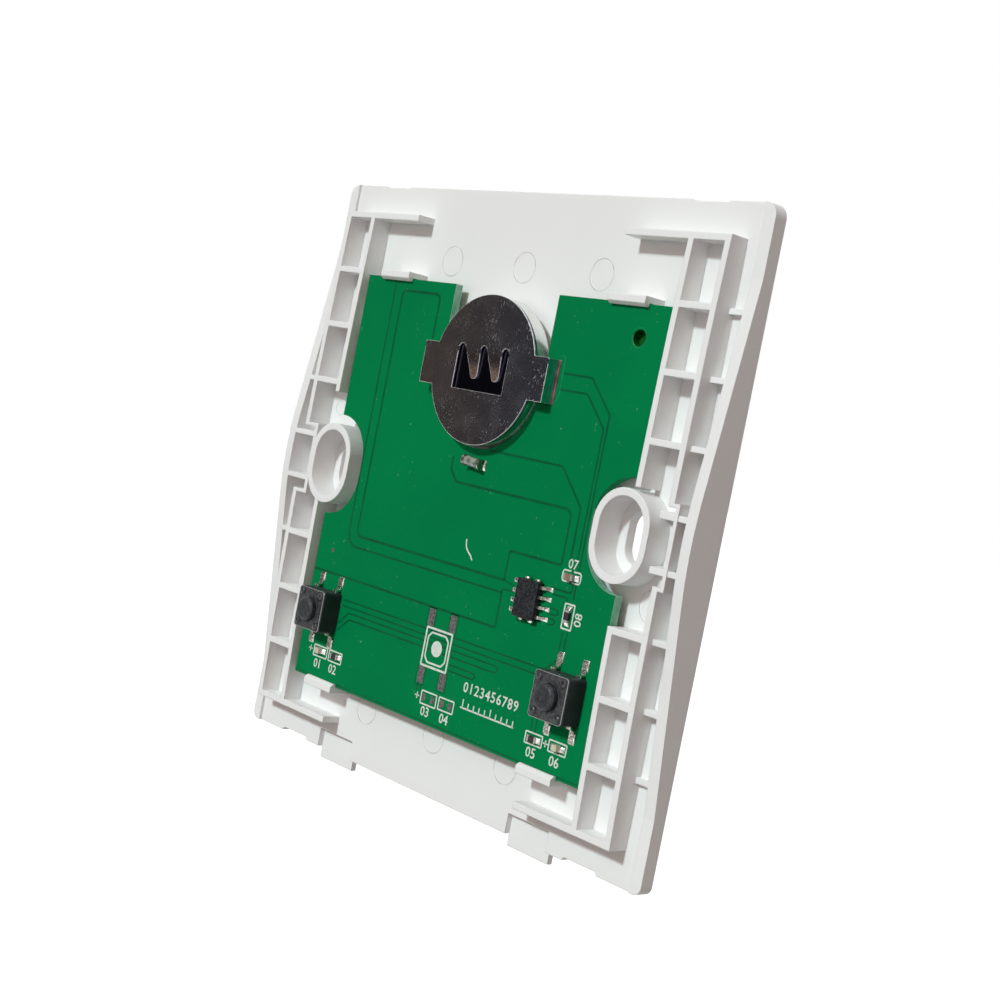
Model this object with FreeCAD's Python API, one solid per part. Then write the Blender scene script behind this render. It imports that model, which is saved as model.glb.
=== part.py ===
import FreeCAD, Part
import math
import os

os.makedirs("parts", exist_ok=True)

# Frame, in millimetres: X runs to the right, Z runs up and the front faces -Y.
# The origin is the centre of the plate's back face.
# A height is a distance in front of the wall, so Y = -height.

# Base plate outline and floor
PLATE_SIDE = 83.0
PLATE_TOP_CORNER_R = 1.8
PLATE_LOW_CORNER_R = 1.2
FLOOR_T = 1.6
RIB_FOOT_H = 1.0
HALF = PLATE_SIDE / 2.0

# Side flanges: the front edge stands a little over the floor at both ends and rises in a straight slope to a
# rounded ridge at mid-height
FLANGE_W = 1.8
FLANGE_IN_X = HALF - FLANGE_W
FLANGE_DRAFT = 0.25
FLANGE_END_RISE = 0.4
FLANGE_SLOPE = 0.108
FLANGE_FOOT_Z = HALF - 9.2
FLANGE_RIDGE_Z = 6.0

# Ladder frames inside the flanges
TRENCH_W = 2.0
LADDER_W = 6.7
LADDER_OUT_X = FLANGE_IN_X - TRENCH_W
LADDER_IN_X = LADDER_OUT_X - LADDER_W
LADDER_WALL = 0.9
LADDER_MID_H = 5.2
LADDER_END_H = 4.5
LADDER_RIB_T = 0.85
TRENCH_RIB_T = 0.75
END_RIB_MARGIN = 4.9
RIB_Z = (3.3, 11.6, 20.0, 28.3, HALF - END_RIB_MARGIN)
END_RIB_T = 0.9
LEFT_END_RIB_L = 11.0
RIGHT_END_RIB_L = 11.5

# Jogs that take each outer ladder wall past its screw boss
JOG_WALL = 0.55
JOG_BAR = 0.5
JOG_RIGHT_OUT_X = FLANGE_IN_X - 1.05
JOG_LEFT_IN_X = LADDER_IN_X + 3.6
JOG_TOP_Z = 4.95
JOG_BOTTOM_Z = -5.6
JOG_LOW_RIB_H = 3.0
JOG_LOW_RIB_X = LADDER_IN_X + 4.8

# Inner ladder walls near the bosses: where each one stops
RIGHT_INNER_LOW_Z = -11.2
RIGHT_INNER_BOSS_GAP = 0.3
LEFT_INNER_HIGH_Z = 10.2

# Screw bosses with a sunk, slotted seat
BOSS_X = 30.0
BOSS_Z = -0.3
BOSS_R = 4.7
BOSS_WALL = 1.0
BOSS_STRAIGHT = 2.4
BOSS_H = 5.3
SEAT_H = 1.4
SLOT_R = 2.25

# Circuit board
BOARD_SIDE_GAP = 0.7
BOARD_X = LADDER_IN_X - BOARD_SIDE_GAP
BOARD_TOP_Z = 27.9
BOARD_BOTTOM_Z = -31.6
BOARD_H = 4.05
BOARD_T = 1.2
BOARD_CUTOUT_R = 6.1
BOARD_HOLE_R = 1.1
BOARD_HOLE = (BOARD_X - 4.5, BOARD_TOP_Z - 4.2)

# Snap hooks that hold the board, and the ledges that it rests on
HOOK_X = (20.0, 26.5)
HOOK_STEM = 0.8
HOOK_GAP = 0.1
HOOK_LIP = 0.4
HOOK_H = 5.0
HOOK_CLEAR = 0.1
LEDGE_DEPTH = 1.8
SIDE_LEDGE_W = 1.6
SIDE_LEDGE_Z = (20.2, 24.2)

# Bottom tongues that the front cover hooks behind, and the shallow notches in the top and bottom edges
TONGUE_X = (17.0, 24.7)
TONGUE_T = 0.8
TONGUE_RECESS = 2.7
TONGUE_REACH = 1.6
EDGE_NOTCH_X = (27.6, 33.9)
LOW_NOTCH_DEPTH = 0.45
TOP_NOTCH_DEPTH = 0.2

# Coin cell, sunk in a round-ended slot in the board's top edge
CELL_X = 0.2
CELL_Z = 16.7
CELL_R = 10.0
CELL_T = 3.2
CELL_LID_INSET = 1.2
CELL_LID_STEP = 0.45
CELL_EDGE_R = 0.25
CELL_SINK = 1.6
CELL_BACK_H = BOARD_H - CELL_SINK
CELL_FRONT_H = CELL_BACK_H + CELL_T
CELL_SLOT_GAP = 0.4
CELL_SLOT_R = CELL_R + CELL_SLOT_GAP

# Lower contact: a cranked sheet strip behind the slot that carries the cell
CONTACT_W = 6.0
CONTACT_T = 0.2
CONTACT_BEND_IN = 0.4
CONTACT_BEND_OUT = 0.2
CONTACT_PAD_L = 2.4

# Battery clip over the cell
CLIP_X = CELL_X + 0.25
CLIP_Z = CELL_Z
CLIP_RIM = 0.1
CLIP_R = CELL_R + CLIP_RIM
CLIP_T = 0.2
CLIP_OVER_CELL = 0.2
CLIP_H = CELL_FRONT_H + CLIP_OVER_CELL + CLIP_T
TAB_LEFT_X = CLIP_X - CELL_R - 2.45
TAB_RIGHT_X = CLIP_X + CELL_R + 2.4
TAB_Z = (CLIP_Z - 2.9, CLIP_Z + 2.9)

# The clip's window and its two spring fingers, which narrow from one side only
WINDOW_X = (CLIP_X - 5.45, CLIP_X + 4.75)
WINDOW_Z = (CLIP_Z - 2.95, CLIP_Z + 3.2)
FINGERS = ((CLIP_X - 3.95, CLIP_X - 0.95), (CLIP_X + 0.35, CLIP_X + 3.35))
FINGER_TIP_Z = CLIP_Z - 1.35
FINGER_TIP_R = 0.75
FINGER_TILT = 3.0

# Eight-lead radio chip in a thin package
CHIP = (BOARD_X - 14.3, -11.05)
CHIP_W = 3.95
CHIP_L = 4.9
CHIP_T = 1.0
CHIP_STANDOFF = 0.1
CHIP_SPAN = 6.0
CHIP_PITCH = 1.27
LEAD_W = 0.42
LEAD_T = 0.2
CHIP_SIDE_SLOPE = 0.06

# Small surface-mounted parts: centre x, centre z, and whether the length runs along Z
LOW_ROW_Z = BOARD_BOTTOM_Z + 3.9
SMD_L = 1.6
SMD_W = 0.8
CAPACITOR_T = 0.8
RESISTOR_T = 0.45
CAPACITOR = (BOARD_X - 7.9, -6.9, False)
RESISTORS = {
    "chip_resistor": (BOARD_X - 7.2, -11.7, True),
    "right_led_resistor": (BOARD_X - 9.05, LOW_ROW_Z - 0.2, False),
    "left_led_resistor": (8.95 - BOARD_X, LOW_ROW_Z + 0.3, False),
}
LEDS = {
    "right": (BOARD_X - 4.6, LOW_ROW_Z - 0.1),
    "left": (5.1 - BOARD_X, LOW_ROW_Z + 0.3),
}
LED_BASE_T = 0.3
LED_LENS_T = 0.4
LED_LENS_L = 1.0

# Glass diode under the battery
DIODE = (0.9, 4.4)
DIODE_L = 3.5
DIODE_R = 0.75
DIODE_GLASS_R = 0.68
DIODE_CAP_L = 0.5
DIODE_TURN = 5.0

# Push-button switches: centres, then sizes shared by both
SWITCHES = {
    "right": (BOARD_X - 4.8, BOARD_BOTTOM_Z + 10.1),
    "left": (4.8 - BOARD_X, BOARD_BOTTOM_Z + 10.2),
}
SWITCH_SIDE = 6.0
SWITCH_STANDOFF = 0.1
SWITCH_COVER_H = 7.25
SWITCH_COVER_T = 0.2
SWITCH_COVER_INSET = 0.05
SWITCH_CORNER_R = 0.45
CAVITY_R = 2.3
CAVITY_FLOOR_H = 5.4
RIVET_OFFSET = 2.2
RIVET_R = 0.5
RIVET_HEAD_T = 0.15
PLUNGER_R = 1.72
PLUNGER_FIT = 0.08
PLUNGER_H = 8.25
PLUNGER_EDGE_R = 0.3
PLUNGER_FLANGE_R = 2.0
PLUNGER_FLANGE_T = 0.45
PLUNGER_STOP_GAP = 0.05
PLUNGER_NUB_R = 1.0
DOME_RIM_R = 2.1
DOME_H = 6.12
DOME_T = 0.08
TERMINAL_PITCH = 4.5
TERMINAL_W = 0.75
TERMINAL_T = 0.25
TERMINAL_REACH = 5.1

V = FreeCAD.Vector
BACKWARD = V(0, 1, 0)
BOARD_BACK_H = BOARD_H - BOARD_T
JOG_RIB_Z = RIB_Z[0]
DEEP = 12.0


def block(x0, x1, z0, z1, h0, h1):
    """A box from height h0 to height h1 in front of the wall."""
    corner = V(min(x0, x1), -h1, min(z0, z1))
    return Part.makeBox(abs(x1 - x0), h1 - h0, abs(z1 - z0), corner)


def rod(x, z, r, h0, h1):
    """A round bar that stands along the front-to-back direction."""
    return Part.makeCylinder(r, h1 - h0, V(x, -h1, z), BACKWARD)


def front_prism(points, h0, h1):
    """The (x, z) outline stretched from height h0 to height h1."""
    loop = [V(x, -h1, z) for x, z in points]
    wire = Part.makePolygon(loop + loop[:1])
    return Part.Face(wire).extrude(V(0, h1 - h0, 0))


def side_prism(points, x0, x1):
    """The (z, height) outline stretched along X."""
    loop = [V(x0, -h, z) for z, h in points]
    wire = Part.makePolygon(loop + loop[:1])
    return Part.Face(wire).extrude(V(x1 - x0, 0, 0))


def end_prism(points, z0, z1):
    """The (x, height) outline stretched along Z."""
    loop = [V(x, -h, z0) for x, h in points]
    wire = Part.makePolygon(loop + loop[:1])
    return Part.Face(wire).extrude(V(0, 0, z1 - z0))


def turned(points, x, z):
    """The (radius, height) outline turned about the axis through (x, z)."""
    loop = [V(x + r, -h, z) for r, h in points]
    wire = Part.makePolygon(loop + loop[:1])
    return Part.Face(wire).revolve(V(x, 0, z), BACKWARD, 360)


def stadium(x, z, r, straight, h0, h1):
    """A round-ended bar whose straight part runs along Z."""
    low = rod(x, z - straight / 2.0, r, h0, h1)
    high = rod(x, z + straight / 2.0, r, h0, h1)
    middle = block(x - r, x + r, z - straight / 2.0, z + straight / 2.0, h0, h1)
    return low.fuse([high, middle]).removeSplitter()


def rounded_block(x0, x1, z0, z1, h0, h1, r):
    """A box with its four front-to-back edges rounded."""
    box = block(x0, x1, z0, z1, h0, h1)
    upright = [e for e in box.Edges if abs(e.tangentAt(e.FirstParameter).y) > 0.99]
    return box.makeFillet(r, upright)


def plate_block(h1):
    """The plate's square outline with its own top and bottom corner radii, from the wall to height h1."""
    box = block(-HALF, HALF, -HALF, HALF, 0, h1)
    for r, sign in ((PLATE_TOP_CORNER_R, 1), (PLATE_LOW_CORNER_R, -1)):
        upright = [e for e in box.Edges if abs(e.tangentAt(e.FirstParameter).y) > 0.99]
        corners = [e for e in upright if sign * e.Vertexes[0].Z > HALF - 0.01]
        box = box.makeFillet(r, corners)
    return box


def fuse_all(shapes):
    """One solid out of shapes that touch or overlap."""
    return shapes[0].fuse(shapes[1:]).removeSplitter()


def flange_profile(x0, x1):
    """Everything behind the sloping front edge of a side flange, ridge included."""
    end_h = FLOOR_T + FLANGE_END_RISE
    ridge_h = end_h + FLANGE_SLOPE * (FLANGE_FOOT_Z - FLANGE_RIDGE_Z)
    peak_h = ridge_h + FLANGE_SLOPE * FLANGE_RIDGE_Z / 2.0
    out = [
        V(x0, 0, HALF),
        V(x0, -end_h, HALF),
        V(x0, -end_h, FLANGE_FOOT_Z),
        V(x0, -ridge_h, FLANGE_RIDGE_Z),
    ]
    back = [V(p.x, p.y, -p.z) for p in reversed(out)]
    arc = Part.Arc(out[-1], V(x0, -peak_h, 0), back[0]).toShape()
    edges = [Part.makeLine(a, b) for a, b in zip(out, out[1:])]
    edges.append(arc)
    edges += [Part.makeLine(a, b) for a, b in zip(back, back[1:])]
    edges.append(Part.makeLine(back[-1], out[0]))
    return Part.Face(Part.Wire(edges)).extrude(V(x1 - x0, 0, 0))


def ladder_profile(x0, x1):
    """Everything behind the gently crowned front of the ladder frames."""
    end_z = RIB_Z[-1] + END_RIB_T
    top = V(x0, -LADDER_END_H, end_z)
    low = V(x0, -LADDER_END_H, -end_z)
    arc = Part.Arc(top, V(x0, -LADDER_MID_H, 0), low).toShape()
    edges = [
        arc,
        Part.makeLine(low, V(x0, 0, -end_z)),
        Part.makeLine(V(x0, 0, -end_z), V(x0, 0, end_z)),
        Part.makeLine(V(x0, 0, end_z), top),
    ]
    return Part.Face(Part.Wire(edges)).extrude(V(x1 - x0, 0, 0))


def make_floor():
    """The flat back of the plate, with the notches in its edges and the two tongues."""
    floor = plate_block(FLOOR_T)
    tongue_top_z = -HALF + TONGUE_RECESS
    for side in (-1, 1):
        for edge, depth in ((-1, LOW_NOTCH_DEPTH), (1, TOP_NOTCH_DEPTH)):
            floor = floor.cut(make_edge_notch(side, edge, depth))
        x0, x1 = side * TONGUE_X[0], side * TONGUE_X[1]
        recess = block(x0, x1, tongue_top_z, -HALF - 1.0, TONGUE_T, FLOOR_T + 1.0)
        tongue = block(x0, x1, tongue_top_z - 1.0, -HALF - TONGUE_REACH, 0, TONGUE_T)
        floor = floor.cut(recess).fuse(tongue)
    return floor.removeSplitter()


def make_edge_notch(side, edge, depth):
    """The cutter of a shallow notch with sloping ends, in the top edge (edge 1) or the bottom edge (edge -1)."""
    near, far = side * EDGE_NOTCH_X[0], side * EDGE_NOTCH_X[1]
    step = side * depth
    outside, rim, inside = edge * (HALF + 1.0), edge * HALF, edge * (HALF - depth)
    notch = [(near, outside), (near, rim), (near + step, inside), (far - step, inside)]
    notch += [(far, rim), (far, outside)]
    return front_prism(notch, -1.0, FLOOR_T + 1.0)


def make_flange(side):
    """One crowned side flange with a drafted inner face."""
    outline = [
        (side * (HALF + 1.0), 0.0),
        (side * FLANGE_IN_X, 0.0),
        (side * FLANGE_IN_X, RIB_FOOT_H),
        (side * (FLANGE_IN_X + FLANGE_DRAFT), LADDER_MID_H),
        (side * (HALF + 1.0), LADDER_MID_H),
    ]
    bar = end_prism(outline, -HALF, HALF)
    crown = flange_profile(-HALF - 2.0, HALF + 2.0)
    return bar.common(crown).common(plate_block(DEEP))


def make_trench_ribs(side):
    """The short ribs that tie a ladder frame to its flange."""
    ribs = []
    for z in RIB_Z[:-1]:
        inner = LADDER_OUT_X - 0.1
        if z == JOG_RIB_Z:
            inner = JOG_RIGHT_OUT_X - 0.1 if side > 0 else JOG_LEFT_IN_X + 0.1
        for rib_z in (z, -z):
            low, high = rib_z - TRENCH_RIB_T / 2.0, rib_z + TRENCH_RIB_T / 2.0
            ribs.append(block(side * inner, side * (FLANGE_IN_X + 0.5), low, high, RIB_FOOT_H, DEEP))
    bars = ribs[0].fuse(ribs[1:])
    return bars.common(flange_profile(-HALF - 2.0, HALF + 2.0))


def upright_wall(side, x0, x1, z0, z1):
    """A ladder wall that runs along Z, before the front is crowned."""
    return block(side * x0, side * x1, z0, z1, RIB_FOOT_H, DEEP)


def cross_rib(side, x0, x1, z, thick):
    """A ladder rib that runs along X, before the front is crowned."""
    return block(side * x0, side * x1, z - thick / 2.0, z + thick / 2.0, RIB_FOOT_H, DEEP)


def jog_bar(side, x0, x1, top_z):
    """A short bar that joins the two offset lengths of an outer ladder wall."""
    return block(side * x0, side * x1, top_z - JOG_BAR, top_z, RIB_FOOT_H, DEEP)


def make_ladder(side):
    """One ladder frame: two walls, cross ribs, and the jog around the screw boss."""
    end_z = RIB_Z[-1] + LADDER_RIB_T / 2.0
    inner = (LADDER_IN_X, LADDER_IN_X + LADDER_WALL)
    outer = (LADDER_OUT_X - LADDER_WALL, LADDER_OUT_X)
    boss_top = BOSS_Z + BOSS_STRAIGHT / 2.0 + BOSS_R + RIGHT_INNER_BOSS_GAP
    boss_bottom = BOSS_Z - BOSS_STRAIGHT / 2.0 - BOSS_R + 0.7
    end_rib_x = inner[1] - (RIGHT_END_RIB_L if side > 0 else LEFT_END_RIB_L)
    parts = [upright_wall(side, outer[0], outer[1], JOG_TOP_Z - JOG_BAR, end_z)]
    parts.append(upright_wall(side, outer[0], outer[1], -end_z, JOG_BOTTOM_Z))
    for z in RIB_Z[1:]:
        for rib_z in (z, -z):
            parts.append(cross_rib(side, inner[0], outer[1], rib_z, LADDER_RIB_T))
    for rib_z in (RIB_Z[-1], -RIB_Z[-1]):
        parts.append(cross_rib(side, end_rib_x, inner[1], rib_z, END_RIB_T))
    if side > 0:
        jog = (JOG_RIGHT_OUT_X - JOG_WALL, JOG_RIGHT_OUT_X)
        bars = (outer[0], jog[1])
        parts.append(upright_wall(side, inner[0], inner[1], boss_top, end_z))
        parts.append(upright_wall(side, inner[0], inner[1], -end_z, RIGHT_INNER_LOW_Z))
        for rib_z in (JOG_RIB_Z, -JOG_RIB_Z):
            parts.append(cross_rib(side, JOG_LOW_RIB_X, jog[1], rib_z, LADDER_RIB_T))
    else:
        jog = (JOG_LEFT_IN_X - 0.2, JOG_LEFT_IN_X + JOG_WALL)
        bars = (JOG_LEFT_IN_X, outer[1])
        parts.append(upright_wall(side, inner[0], inner[1], LEFT_INNER_HIGH_Z, end_z))
        parts.append(upright_wall(side, inner[0], inner[1], -end_z, boss_bottom))
    parts.append(upright_wall(side, jog[0], jog[1], JOG_BOTTOM_Z, JOG_TOP_Z))
    parts.append(jog_bar(side, bars[0], bars[1], JOG_TOP_Z))
    parts.append(jog_bar(side, bars[0], bars[1], JOG_BOTTOM_Z + JOG_BAR))
    frame = parts[0].fuse(parts[1:])
    return frame.common(ladder_profile(-HALF, HALF))


def make_low_ribs():
    """The low starts of the two ribs between the right boss and its jogged wall."""
    ribs = []
    for z in (JOG_RIB_Z, -JOG_RIB_Z):
        low, high = z - LADDER_RIB_T / 2.0, z + LADDER_RIB_T / 2.0
        ribs.append(block(BOSS_X + BOSS_R - 1.4, JOG_LOW_RIB_X + 0.1, low, high, RIB_FOOT_H, JOG_LOW_RIB_H))
    return ribs


def make_hook(side, edge_z, outward):
    """A snap hook over one edge of the board, with the ledge that carries that edge."""
    stem_in = edge_z + outward * HOOK_GAP
    stem_out = stem_in + outward * HOOK_STEM
    tip = edge_z - outward * HOOK_LIP
    under = BOARD_H + HOOK_CLEAR
    outline = [
        (stem_out, RIB_FOOT_H),
        (stem_out, HOOK_H),
        (edge_z, HOOK_H),
        (tip, under + 0.35),
        (tip, under),
        (stem_in, under),
        (stem_in, BOARD_BACK_H),
        (edge_z - outward * LEDGE_DEPTH, BOARD_BACK_H),
        (edge_z - outward * LEDGE_DEPTH, RIB_FOOT_H),
    ]
    x0, x1 = side * HOOK_X[0], side * HOOK_X[1]
    return side_prism(outline, min(x0, x1), max(x0, x1))


def make_side_ledges(side):
    """Two ledges along a ladder frame that carry the board's side edge."""
    inner = LADDER_IN_X - SIDE_LEDGE_W
    ledges = []
    for sign in (-1, 1):
        z0, z1 = sign * SIDE_LEDGE_Z[0], sign * SIDE_LEDGE_Z[1]
        ledges.append(block(side * inner, side * (LADDER_IN_X + 0.2), z0, z1, RIB_FOOT_H, BOARD_BACK_H))
    return ledges


def make_base_plate():
    """The whole one-piece moulding."""
    parts = [make_floor()]
    for side in (-1, 1):
        parts.append(make_flange(side))
        parts.append(make_trench_ribs(side))
        parts.append(make_ladder(side))
        parts.append(make_hook(side, BOARD_TOP_Z, 1))
        parts.append(make_hook(side, BOARD_BOTTOM_Z, -1))
        parts += make_side_ledges(side)
        parts.append(stadium(side * BOSS_X, BOSS_Z, BOSS_R, BOSS_STRAIGHT, RIB_FOOT_H, BOSS_H))
    parts += make_low_ribs()
    plate = fuse_all(parts)
    for side in (-1, 1):
        well = stadium(side * BOSS_X, BOSS_Z, BOSS_R - BOSS_WALL, BOSS_STRAIGHT, SEAT_H, DEEP)
        slot = stadium(side * BOSS_X, BOSS_Z, SLOT_R, BOSS_STRAIGHT, -1.0, DEEP)
        plate = plate.cut(well).cut(slot)
    return plate.removeSplitter()


def make_board():
    """The bare board: the cell's slot, a bite around each screw boss and one small hole."""
    board = block(-BOARD_X, BOARD_X, BOARD_BOTTOM_Z, BOARD_TOP_Z, BOARD_BACK_H, BOARD_H)
    board = board.cut(rod(0, CELL_Z, CELL_SLOT_R, 0, DEEP))
    board = board.cut(block(-CELL_SLOT_R, CELL_SLOT_R, CELL_Z, BOARD_TOP_Z + 1.0, 0, DEEP))
    for side in (-1, 1):
        board = board.cut(stadium(side * BOSS_X, BOSS_Z, BOARD_CUTOUT_R, BOSS_STRAIGHT, 0, DEEP))
    return board.cut(rod(BOARD_HOLE[0], BOARD_HOLE[1], BOARD_HOLE_R, 0, DEEP))


def make_finger(x0, x1):
    """One spring finger of the clip: straight on the right, tapered on the left, bent towards the cell."""
    root_z = WINDOW_Z[1] - 0.5
    centre_x = x1 - FINGER_TIP_R
    centre_z = FINGER_TIP_Z + FINGER_TIP_R
    points = [(x0, root_z), (x1, root_z)]
    for step in range(9):
        angle = -math.pi * step / 8.0
        points.append((centre_x + FINGER_TIP_R * math.cos(angle), centre_z + FINGER_TIP_R * math.sin(angle)))
    finger = front_prism(points, CLIP_H - CLIP_T, CLIP_H)
    finger.rotate(V(centre_x, -CLIP_H, root_z), V(1, 0, 0), FINGER_TILT)
    return finger


def make_clip():
    """The sheet clip: a disc with two tabs, a leg at each tab and two spring fingers."""
    low = CLIP_H - CLIP_T
    sheet = rod(CLIP_X, CLIP_Z, CLIP_R, low, CLIP_H)
    sheet = sheet.fuse(block(TAB_LEFT_X, TAB_RIGHT_X, TAB_Z[0], TAB_Z[1], low, CLIP_H))
    edges = sorted(list(WINDOW_X) + [x for finger in FINGERS for x in finger])
    root_z = WINDOW_Z[1] - 0.9
    opening = block(WINDOW_X[0], WINDOW_X[1], WINDOW_Z[0], root_z, low - 1.0, CLIP_H + 1.0)
    for x0, x1 in zip(edges[0::2], edges[1::2]):
        r = (x1 - x0) / 2.0
        opening = opening.fuse(rod(x0 + r, WINDOW_Z[1] - r, r, low - 1.0, CLIP_H + 1.0))
        opening = opening.fuse(block(x0, x1, root_z - 0.1, WINDOW_Z[1] - r, low - 1.0, CLIP_H + 1.0))
    sheet = sheet.cut(opening)
    parts = [sheet]
    parts += [make_finger(x0, x1) for x0, x1 in FINGERS]
    parts.append(block(TAB_LEFT_X, TAB_LEFT_X + CLIP_T, TAB_Z[0], TAB_Z[1], BOARD_H, CLIP_H))
    parts.append(block(TAB_RIGHT_X - CLIP_T, TAB_RIGHT_X, TAB_Z[0], TAB_Z[1], BOARD_H, CLIP_H))
    return fuse_all(parts)


def make_cell():
    """The coin cell, can side to the front, with the smaller lid against the lower contact."""
    back, front = CELL_BACK_H, CELL_FRONT_H
    step = back + CELL_LID_STEP
    outline = [
        (0.0, back),
        (CELL_R - CELL_LID_INSET, back),
        (CELL_R - CELL_LID_INSET, step),
        (CELL_R - CELL_EDGE_R, step),
        (CELL_R, step + CELL_EDGE_R),
        (CELL_R, front - CELL_EDGE_R),
        (CELL_R - CELL_EDGE_R, front),
        (0.0, front),
    ]
    return turned(outline, CELL_X, CELL_Z)


def make_lower_contact():
    """The strip under the cell: flat across the slot, cranked up at both ends to the board's back face."""
    seat, pad = CELL_BACK_H, BOARD_BACK_H
    bend_in = CELL_SLOT_R - CONTACT_BEND_IN
    bend_out = CELL_SLOT_R + CONTACT_BEND_OUT
    end = CELL_SLOT_R + CONTACT_PAD_L
    upper = [(-end, pad), (-bend_out, pad), (-bend_in, seat), (bend_in, seat), (bend_out, pad), (end, pad)]
    lower = [(x, h - CONTACT_T) for x, h in reversed(upper)]
    return end_prism(upper + lower, CELL_Z - CONTACT_W / 2.0, CELL_Z + CONTACT_W / 2.0)


def make_chip_body():
    """The chip's package, with its long sides sloping in from the lead line."""
    back = BOARD_H + CHIP_STANDOFF
    front = back + CHIP_T
    middle = (back + front) / 2.0
    half, slope = CHIP_W / 2.0, CHIP_SIDE_SLOPE
    outline = [
        (CHIP[0] - half + slope, back),
        (CHIP[0] - half, middle),
        (CHIP[0] - half + slope, front),
        (CHIP[0] + half - slope, front),
        (CHIP[0] + half, middle),
        (CHIP[0] + half - slope, back),
    ]
    return end_prism(outline, CHIP[1] - CHIP_L / 2.0, CHIP[1] + CHIP_L / 2.0)


def make_chip_leads():
    """Eight gull-wing leads, four a side."""
    middle = BOARD_H + CHIP_STANDOFF + CHIP_T / 2.0
    half, reach = CHIP_W / 2.0, CHIP_SPAN / 2.0
    leads = []
    for side in (-1, 1):
        path = [
            (half, middle + LEAD_T / 2.0),
            (half + 0.45, middle + LEAD_T / 2.0),
            (half + 0.65, BOARD_H + LEAD_T),
            (reach, BOARD_H + LEAD_T),
            (reach, BOARD_H),
            (half + 0.45, BOARD_H),
            (half + 0.27, middle - LEAD_T / 2.0),
            (half, middle - LEAD_T / 2.0),
        ]
        outline = [(CHIP[0] + side * x, h) for x, h in path]
        for row in (-1.5, -0.5, 0.5, 1.5):
            z = CHIP[1] + row * CHIP_PITCH
            leads.append(end_prism(outline, z - LEAD_W / 2.0, z + LEAD_W / 2.0))
    return Part.makeCompound(leads)


def make_smd(place, thick):
    """A small two-ended part that sits flat on the board."""
    x, z, upright = place
    half_x, half_z = SMD_L / 2.0, SMD_W / 2.0
    if upright:
        half_x, half_z = half_z, half_x
    return block(x - half_x, x + half_x, z - half_z, z + half_z, BOARD_H, BOARD_H + thick)


def make_led_lens(x, z):
    """The moulded lens on an indicator's base, narrower at the front."""
    low = BOARD_H + LED_BASE_T
    high = low + LED_LENS_T
    half = LED_LENS_L / 2.0
    outline = [(x - half, low), (x - half + 0.08, high), (x + half - 0.08, high), (x + half, low)]
    return end_prism(outline, z - SMD_W / 2.0, z + SMD_W / 2.0)


def diode_bar(r, x0, x1):
    """A round bar along the diode's axis, between two distances from its centre."""
    centre = V(DIODE[0], -(BOARD_H + DIODE_R), DIODE[1])
    bar = Part.makeCylinder(r, x1 - x0, centre + V(x0, 0, 0), V(1, 0, 0))
    bar.rotate(centre, V(0, 1, 0), DIODE_TURN)
    return bar


def make_switch_housing(x, z):
    """The black housing: a cavity for the dome, and four rivet posts that stand through the cover."""
    half = SWITCH_SIDE / 2.0
    back, front = BOARD_H + SWITCH_STANDOFF, SWITCH_COVER_H - SWITCH_COVER_T
    body = rounded_block(x - half, x + half, z - half, z + half, back, front, SWITCH_CORNER_R)
    body = body.cut(rod(x, z, CAVITY_R, CAVITY_FLOOR_H, DEEP))
    posts = []
    for dx in (-RIVET_OFFSET, RIVET_OFFSET):
        for dz in (-RIVET_OFFSET, RIVET_OFFSET):
            posts.append(rod(x + dx, z + dz, RIVET_R, front - 0.5, SWITCH_COVER_H + RIVET_HEAD_T))
    return fuse_all([body] + posts)


def make_switch_cover(x, z):
    """The thin metal plate on the housing, open for the plunger and the rivet posts."""
    half = SWITCH_SIDE / 2.0 - SWITCH_COVER_INSET
    back = SWITCH_COVER_H - SWITCH_COVER_T
    plate = rounded_block(x - half, x + half, z - half, z + half, back, SWITCH_COVER_H, SWITCH_CORNER_R)
    plate = plate.cut(rod(x, z, PLUNGER_R + PLUNGER_FIT, 0, DEEP))
    for dx in (-RIVET_OFFSET, RIVET_OFFSET):
        for dz in (-RIVET_OFFSET, RIVET_OFFSET):
            plate = plate.cut(rod(x + dx, z + dz, RIVET_R, 0, DEEP))
    return plate


def make_plunger(x, z):
    """The push button: a stem, the flange that holds it in, and the nub over the dome."""
    flange_h = SWITCH_COVER_H - SWITCH_COVER_T - PLUNGER_STOP_GAP
    flange_low = flange_h - PLUNGER_FLANGE_T
    outline = [
        (0.0, DOME_H + PLUNGER_STOP_GAP),
        (PLUNGER_NUB_R, DOME_H + PLUNGER_STOP_GAP),
        (PLUNGER_NUB_R, flange_low),
        (PLUNGER_FLANGE_R, flange_low),
        (PLUNGER_FLANGE_R, flange_h),
        (PLUNGER_R, flange_h),
        (PLUNGER_R, PLUNGER_H - PLUNGER_EDGE_R),
        (PLUNGER_R - PLUNGER_EDGE_R, PLUNGER_H),
        (0.0, PLUNGER_H),
    ]
    return turned(outline, x, z)


def make_dome(x, z):
    """The thin metal dome that snaps under the plunger."""
    rise = DOME_H - CAVITY_FLOOR_H
    steps = 3
    upper, lower = [], []
    for i in range(steps + 1):
        r = DOME_RIM_R * i / steps
        drop = rise * (i / steps) ** 2
        upper.append((r, DOME_H - drop + DOME_T * (i == steps)))
        lower.append((r, max(DOME_H - drop - DOME_T, CAVITY_FLOOR_H)))
    return turned(upper + lower[::-1], x, z)


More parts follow.
